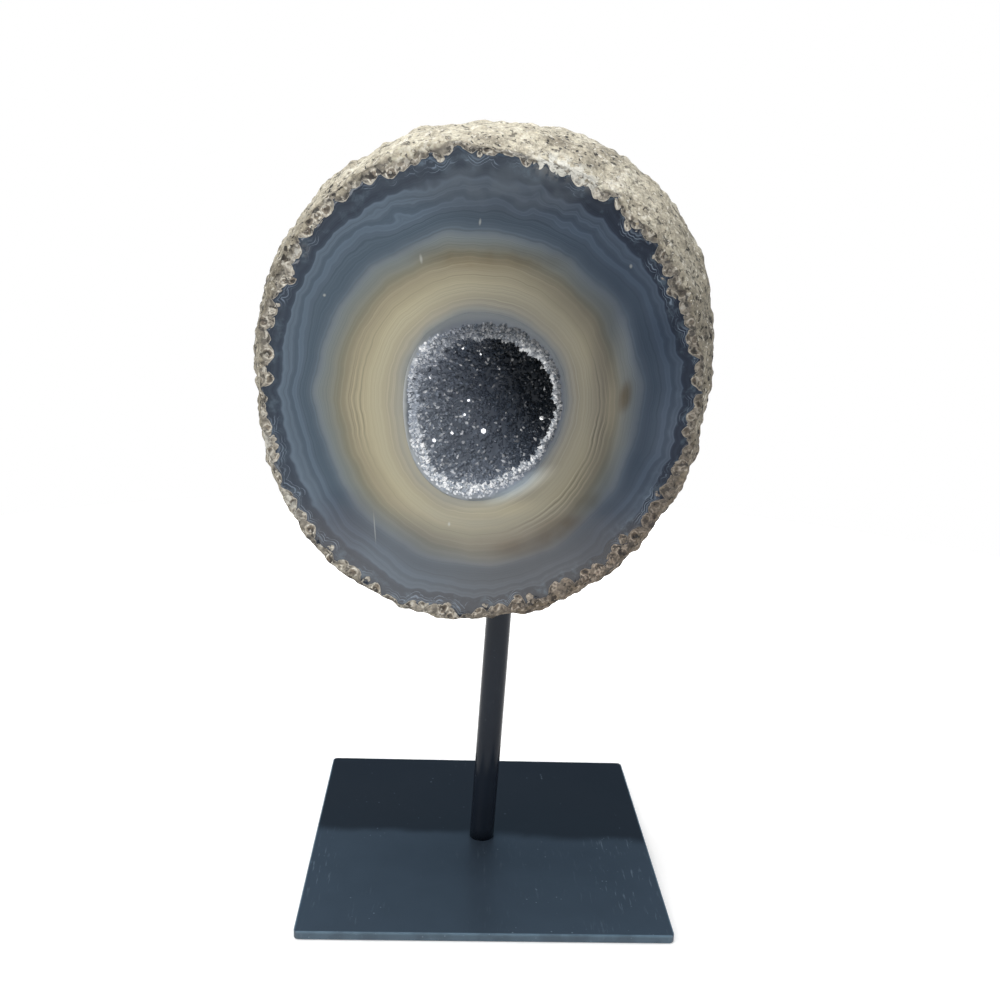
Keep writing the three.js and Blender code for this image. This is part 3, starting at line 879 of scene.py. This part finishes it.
def makeCrystals(random):
    # each crystal is one six-sided template, scaled, spun and turned to its own growth, which is
    # the surface's normal + tilt * a random vector, and leans towards the middle on the ring
    angle, travel, onLip = crystalSeats(random)
    count = len(angle)
    seat = crustSurface(angle, travel)
    step = 1e-3
    along = crustSurface(angle, travel + step) - seat
    across = crustSurface(angle + step, travel) - seat
    normal = unit(np.cross(along, across), 1e-12)
    inward = np.array([hollow["x"], cut["y"] - 10, hollow["z"]]) * mm - seat
    normal *= np.sign(np.sum(normal * inward, axis=-1, keepdims=True))
    growth = normal + crust["tilt"] * random.normal(0, 0.6, (count, 3))
    onRing = (travel < 0.02)[:, None]
    growth = unit(growth + onRing * unit(inward) * 0.8)
    lipWidth, lipPoint = crust["lipGrowth"]
    wider = np.where(onLip, lipWidth, np.where(travel < 0.02, crust["ringGrowth"], 1.0))
    width = random.uniform(*crust["width"], count) * mm * wider
    shaft = random.uniform(*crust["shaft"], count) * mm
    point = random.uniform(*crust["point"], count) * width * np.where(onLip, lipPoint, 1.0)
    camera = np.array(cameraView["place"])
    seen = camera + (seat - camera) * (cut["y"] * mm - camera[1]) / (seat[:, 1:2] - camera[1])
    # faint glints, painted highlights that glow, more of them where the druse is light, then the named
    # flashes, painted highlights that glow white
    least, more = crust["glintShare"]
    glint = (random.uniform(0, 1, count) < least + more * paintedShadeAt(seat) ** 2) & (travel > 0.02)
    flash = glint * random.uniform(*crust["glintStrength"], count)
    glintWidth, glintShaft = crust["glintGrowth"]
    width = np.where(glint, glintWidth * width, width)
    shaft = np.where(glint, shaft + glintShaft * mm, shaft)
    for x, z, flashWidth in crust["flashes"]:
        nearest = np.argmin(np.hypot(seen[:, 0] - x * mm, seen[:, 2] - z * mm))
        flash[nearest] = 1
        growth[nearest] = unit(camera - seat[nearest])
        width[nearest] = flashWidth * mm
        shaft[nearest] = crust["flashShaft"] * mm
    corner = np.arange(6) * fullTurn / 6
    hexagon = np.stack([np.cos(corner), np.sin(corner), 0 * corner], axis=-1)
    foot = hexagon[None] * (width / 2)[:, None, None]
    shoulder = foot + np.array([0, 0, 1.0]) * shaft[:, None, None]
    foot = foot - np.array([0, 0, crust["root"] * mm])
    tip = np.stack([0 * point, 0 * point, shaft + point], axis=-1)[:, None]
    local = np.concatenate([foot, shoulder, tip], axis=1)
    helper = np.where(np.abs(growth[:, :1]) < 0.8, [[1.0, 0, 0]], [[0, 1.0, 0]])
    side = unit(np.cross(growth, helper))
    other = np.cross(growth, side)
    spin = random.uniform(0, fullTurn, count)[:, None]
    first = side * np.cos(spin) + other * np.sin(spin)
    turned = np.stack([first, np.cross(growth, first), growth], axis=1)
    points = seat[:, None] + np.einsum("nvk,nkd->nvd", local, turned)
    polish = (cut["y"] + random.uniform(0.02, 0.4, count)) * mm   # nothing stands proud of the cut
    points[..., 1] = np.maximum(points[..., 1], polish[:, None])
    ring = np.arange(6)
    following = (ring + 1) % 6
    sides = np.stack([ring, following, following + 6, ring + 6], axis=-1)
    tops = np.stack([ring + 6, following + 6, np.full(6, 12)], axis=-1)
    return points, (sides, tops, ring[::-1][None]), angle, travel, flash


def makeCrustMesh():
    # a closed shell in the hollow, then the crystals joined to it as one mesh
    angle = np.arange(crust["columns"]) * fullTurn / crust["columns"]
    wallTravel = np.linspace(1, 0, crust["wallRows"] + 1)[1:, None]
    skin = crust["skin"] * mm
    wall = hollowWall(angle[None, :], wallTravel, -skin)
    wall[-1, :, 1] = cut["y"] * mm + skin
    front = np.concatenate([np.linspace(-1, 0, crust["ringRows"], endpoint=False),
                            np.linspace(0, 1, crust["bowlRows"], endpoint=False)])
    inner = crustSurface(angle[None, :], front[:, None])
    roughHeight, roughSize = crust["rough"]
    rough = softNoise(inner / mm, roughSize, seeds["bowl"]) * smoothStep(-0.5, 0.1, front)[:, None]
    inner[..., 1] += roughHeight * mm * rough
    rows = np.concatenate([wall, inner])
    wallBottom = hollowWall(np.zeros(1), np.ones(1), -skin)[0]
    bowlBottom = crustSurface(np.zeros(1), np.ones(1))[0]
    shellPoints, faces = ringSkin(rows, wallBottom, bowlBottom)
    shellCount = len(faces)
    shellAngle, shellTravel = np.meshgrid(angle, np.append(np.full(crust["wallRows"], -1.0), front))
    shellTravel = np.append(shellTravel, [-1.0, 1.0])
    shellAngle = np.append(shellAngle, [0.0, 0.0])
    random = np.random.default_rng(seeds["crystals"])
    points, templates, angles, travels, flash = makeCrystals(random)
    perCrystal = points.shape[1]
    start = len(shellTravel) + perCrystal * np.arange(len(points))[:, None, None]
    for template in templates:
        faces += (template[None] + start).reshape(-1, template.shape[1]).tolist()
    smooth = np.zeros(len(faces), bool)
    smooth[crust["wallRows"] * crust["columns"]:shellCount] = True
    mesh = newMesh("crystal_lining", np.concatenate([shellPoints, points.reshape(-1, 3)]), faces, smooth)
    own = random.uniform(0, 1, len(points))
    frost = frostAt(angles, travels)
    shellFrost = 0.7 * frostAt(shellAngle, shellTravel) * (shellTravel > -ringCover(shellAngle))
    for name, onShell, onCrystals in (
            ("travel", shellTravel, travels), ("own", 0 * shellTravel + 0.3, own),
            ("frost", shellFrost, frost), ("shade", paintedShadeAt(shellPoints), paintedShadeAt(points[:, 0])),
            ("flash", 0 * shellTravel, flash), ("gloss", 0 * shellTravel, 1 + 0 * own),
            ("inside", smoothStep(-0.1, 0.0, shellTravel), 1 + 0 * own)):
        addAttribute(mesh, name, np.append(onShell, np.repeat(onCrystals, perCrystal)))
    return mesh


def makeCrustMaterial():
    # glassy crystals, dark in painted shade and lighter in painted light, with painted sparkles and glowing
    # painted highlights, whitened by frost at the lip, behind the grey ring of the mouth
    material, place, shader = newMaterial("smoky_quartz")
    own, frost, shade, travel = (attribute(place, name) for name in ("own", "frost", "shade", "travel"))
    flash, inside, gloss = (attribute(place, name) for name in ("flash", "inside", "gloss"))
    # painted shade on the druse, darkest in the recess at the upper right, and painted light at the lower
    # left
    druseWithPaintedShade = colourRamp(shade, [
        (0.0, (17, 22, 26)), (0.25, (37, 43, 51)), (0.5, (86, 94, 107)), (0.75, (131, 139, 152)),
        (1.0, (152, 160, 172))])
    # each crystal's own tone, the brightest few lifted as painted sparkles
    sparkle = colourRamp(own, [(0.0, 0.4), (0.7, 0.52), (0.93, 0.6), (0.97, 0.86)])
    frosty = mixColour(own, (160, 170, 181), (255, 255, 255))
    frost = times(frost, between(own, 0, 1, 0.6, 1.35))
    crystal = layered(druseWithPaintedShade, (0.7, sparkle, "OVERLAY"), (frost, frosty), (flash, (255, 255, 255)))
    ring = colourRamp(between(travel, -1.0, 0.0), [
        (0.0, (116, 121, 122)), (0.25, (100, 106, 113)), (0.5, (92, 99, 109)), (1.0, (88, 96, 106))])
    # painted shade towards the right and painted light below the mouth, as on the cut
    rightwardPaintedShade = times(between(axes(place)["X"], *rightHalfPaintedShade["span"]), 0.8)
    lit = ellipseMask(place, *mouthLight[:5])
    # a dull white line along the mouth at the left
    edge = times(fading(travel, -1.0, -0.6, 0.85), cutPart(place, "mouthLine"))
    ring = layered(ring, (rightwardPaintedShade, rightHalfPaintedShade["shade"], "MULTIPLY"), (lit, mouthLight[5], "MULTIPLY"),
                   (edge, (176, 179, 179)), (frost, frosty))
    # the flash attribute makes the painted highlights glow
    feed(shader, {"Base Color": mixColour(inside, ring, crystal), "Roughness": mixValue(gloss, 0.65, 0.18),
                  "Emission Color": white, "Emission Strength": flash, "IOR": quartzIndex,
                  "Specular IOR Level": 0.3, "Transmission Weight": 0.15,
                  "Normal": bump(noise(place, 600, 2), 0.15, 0.0002)})
    return material


def makeCrust():
    mesh = makeCrustMesh()
    newPiece("crystal_lining", mesh, makeCrustMaterial(), "crystal_crust")
    print("crust made:", len(mesh.polygons), "faces")


# The stand

stand = {
    "side": 130, "thickness": 3, "corner": 2, "edge": 0.35, "cornerSteps": 10, "edgeSteps": 5,
    "postDiameter": 9.5, "lean": 2.0, "postTop": 116, "postColumns": 72, "postRows": 24,
    # each paint's tone behind the line across the plate, as painted shade, and in front of it, as painted
    # light; dust, gloss, roughness
    "postPaint": ((28, 34, 43), (28, 34, 43), 0.2, 0.16, 0.14),
    "platePaint": ((12, 13, 19), (47, 57, 68), 0.9, 0.3, 0.36),
    "dustColour": (124, 140, 154), "upperEdgeColour": (86, 107, 122),
}


def makePostMesh():
    # a circle of the rod's radius carried along the leaning axis, cut level at the plate
    columns = stand["postColumns"]
    angle = np.arange(columns) * fullTurn / columns
    radius = stand["postDiameter"] / 2 * mm
    foot, head = stand["thickness"] * mm, stand["postTop"] * mm
    heights = np.linspace(foot, head, stand["postRows"])[:, None]
    lean = math.tan(math.radians(stand["lean"]))
    x = heights * lean + radius * np.cos(angle)
    rows = np.stack([x, 0 * heights + radius * np.sin(angle), heights + 0 * x], axis=-1)
    bottom, top = (np.array([height * lean, 0, height]) for height in (foot, head))
    points, faces = ringSkin(rows[:, ::-1], bottom, top)
    smooth = np.arange(len(faces)) < (stand["postRows"] - 1) * columns
    return newMesh("round_post", points, faces, smooth)


def makePlateMesh():
    # a rounded square carried up the sheet's edge: in at the bottom, out, and in again at the top
    thick, quarter = stand["thickness"], math.pi / 2
    bend = np.linspace(0, quarter, stand["edgeSteps"])
    inset = stand["edge"] * (1 - np.cos(np.append(bend[::-1], bend)))[:, None]
    rounding = stand["edge"] * (1 - np.sin(bend))
    height = np.append(rounding[::-1], thick - rounding)[:, None]
    turn = (np.linspace(0, quarter, stand["cornerSteps"]) + np.arange(4)[:, None] * quarter).ravel()
    sideX, sideY = (np.repeat(signs, stand["cornerSteps"]) for signs in ((1, -1, -1, 1), (1, 1, -1, -1)))
    straight, radius = stand["side"] / 2 - stand["corner"], stand["corner"] - inset
    x, y = sideX * straight + radius * np.cos(turn), sideY * straight + radius * np.sin(turn)
    rows = np.stack([x, y, height + 0 * x], axis=-1)[:, ::-1] * mm
    points, faces = ringSkin(rows, [0, 0, 0], [0, 0, thick * mm])
    return newMesh("square_plate", points, faces, np.zeros(len(faces), bool))


def makePaint(name, paintedShadeTone, paintedLightTone, dusty, gloss, roughness):
    # satin black paint, darker behind a line across the plate as painted shade and lighter in front of it
    # as painted light, with a slight mottle, dust specks and faint upright streaks
    material, place, shader = newMaterial(name)
    x, y, z = axes(place)
    wobble = patches(place, 45, 3, 0.3, 0.7, -0.0015, 0.0015)
    # painted light in front of the line across the plate, painted shade behind it
    front = fading(maths("ADD", maths("MULTIPLY_ADD", x, 0.054, y), wobble), -0.003, 0.004)
    mottle = colourRamp(noise(place, 90, 4), [(0.3, 0.46), (0.7, 0.54)])
    # specks in patches and along the plate's front edge
    speckHere = maths("MAXIMUM", patches(place, 60, 2, 0.5, 0.7, 0.0, 0.8), fading(y, -0.0635, -0.061, 0.7))
    speck = times(fading(cells(place, 330)["Distance"], 0.05, 0.12), speckHere)
    stretched = addNode("Mapping", {}, {"Vector": place, "Scale": (900, 110, 300)}).outputs[0]
    sideways = between(maths("ABSOLUTE", x), 0.036, 0.056, 0.15, 1.0)
    streak = times(patches(stretched, 1.0, 3, 0.58, 0.75), patches(place, 32, 2, 0.42, 0.62), front,
                   sideways, 0.8)
    dust = times(maths("MAXIMUM", speck, streak), dusty)
    # lighter along the sheet's upper edges
    outward = maths("MAXIMUM", maths("ABSOLUTE", x), maths("ABSOLUTE", y))
    upperEdgeLighter = times(between(outward, 0.0643, 0.0647), between(z, 0.002, 0.0027, 0.6, 1.0),
                 patches(place, 150, 3, 0.3, 0.6, 0.6, 1.0))
    base = layered(mixColour(front, paintedShadeTone, paintedLightTone), (0.8, mottle, "OVERLAY"),
                   (dust, stand["dustColour"]), (upperEdgeLighter, stand["upperEdgeColour"]))
    smear = patches(place, 25, 3, 0.35, 0.65, roughness - 0.03, roughness + 0.03)
    feed(shader, {"Base Color": base, "Specular IOR Level": gloss, "Roughness": mixValue(dust, smear, 0.6),
                  "Normal": bump(noise(place, 1400, 2), 0.05, 0.0002)})
    return material


def makeStand():
    post = makePaint("black_paint_post", *stand["postPaint"])
    newPiece("round_post", makePostMesh(), post, "post")
    plate = makePaint("black_paint_plate", *stand["platePaint"])
    newPiece("square_plate", makePlateMesh(), plate, "base_plate")
    print("stand made")


# The studio

studio = {
    "floorRings": (0.2, 0.4, 0.62),
    "floorColumns": 96,
    "floorDepth": 0.0002,
    "floorGlow": (0.30, 1.0),   # light given off under the object and near the floor's rim
    "skyLight": 0.32,
    "lowReflection": (0.045, 0.055, 0.075, 1),
    "highReflection": (0.45, 0.74, 1.04, 1),
    "reflectionHorizon": (0.482, 0.506),   # sines of the height where the reflected room brightens
    "lights": [
        # name, place, aim, size, watts
        ("key", (-0.60, -0.70, 0.75), (0, 0, 0.17), 0.9, 6.6),
        ("fill", (0.75, -0.45, 0.55), (0, 0, 0.17), 0.8, 1.8),
        ("top", (-0.10, 0.10, 1.10), (0, 0, 0.15), 0.7, 9),
    ],
}


def makeFloor():
    # a disc of rings joined by quads, which glows more towards its rim so that no edge shows
    angle = np.arange(studio["floorColumns"]) * fullTurn / studio["floorColumns"]
    radii = np.array(studio["floorRings"])[:, None]
    x, y, z = radii * np.cos(angle), radii * np.sin(angle), -studio["floorDepth"]
    points, faces = ringSkin(np.stack([x, y, 0 * x + z], axis=-1), [0, 0, z])
    mesh = newMesh("floor", points, faces, np.zeros(len(faces), bool))
    material, place, shader = newMaterial("pale_floor")
    glow = between(vectorMaths("LENGTH", place), 0.1, 0.45, *studio["floorGlow"])
    feed(shader, {"Emission Strength": glow, "Emission Color": white, "Base Color": (0.8, 0.8, 0.8, 1),
                  "Roughness": 0.9, "Specular IOR Level": 0.1})
    mesh.materials.append(material)
    floor = newObject("floor", mesh)


def makeLights():
    # round lamps that face their aim
    for name, place, aim, size, watts in studio["lights"]:
        data = bpy.data.lights.new(name, "AREA")
        data.shape = "DISK"
        data.size = size
        data.energy = watts
        light = newObject(name, data)
        light.location = place
        direction = Vector(aim) - Vector(place)
        light.rotation_euler = direction.to_track_quat("-Z", "Y").to_euler()


def makeSky():
    # white to the eye and even for soft light; in reflections a dark room that brightens above
    world = bpy.data.worlds.new("studio")
    world.use_nodes = True
    bpy.context.scene.world = world
    tree = world.node_tree
    tree.nodes.clear()
    x, _, z = axes(addNode("TexCoord", {}, {}, tree).outputs["Generated"])
    bright = between(maths("MULTIPLY_ADD", x, -0.05, z), *studio["reflectionHorizon"])
    mirrored = mixColour(bright, studio["lowReflection"], studio["highReflection"])
    rays = addNode("LightPath", {}, {}, tree).outputs
    soft, gloss, seen = (
        addNode("Background", {}, {"Color": shade, "Strength": strength}, tree).outputs[0]
        for shade, strength in ((white, studio["skyLight"]), (mirrored, 1.0), (white, 1.0)))
    lit = addNode("MixShader", {}, {0: rays["Is Glossy Ray"], 1: soft, 2: gloss}).outputs[0]
    shown = addNode("MixShader", {}, {0: rays["Is Camera Ray"], 1: lit, 2: seen}).outputs[0]
    addNode("OutputWorld", {}, {"Surface": shown})


makeCamera()
makeStone()
makeCrust()
makeStand()
makeFloor()
makeLights()
makeSky()
bpy.context.scene.view_settings.view_transform = "Standard"
print("studio made")
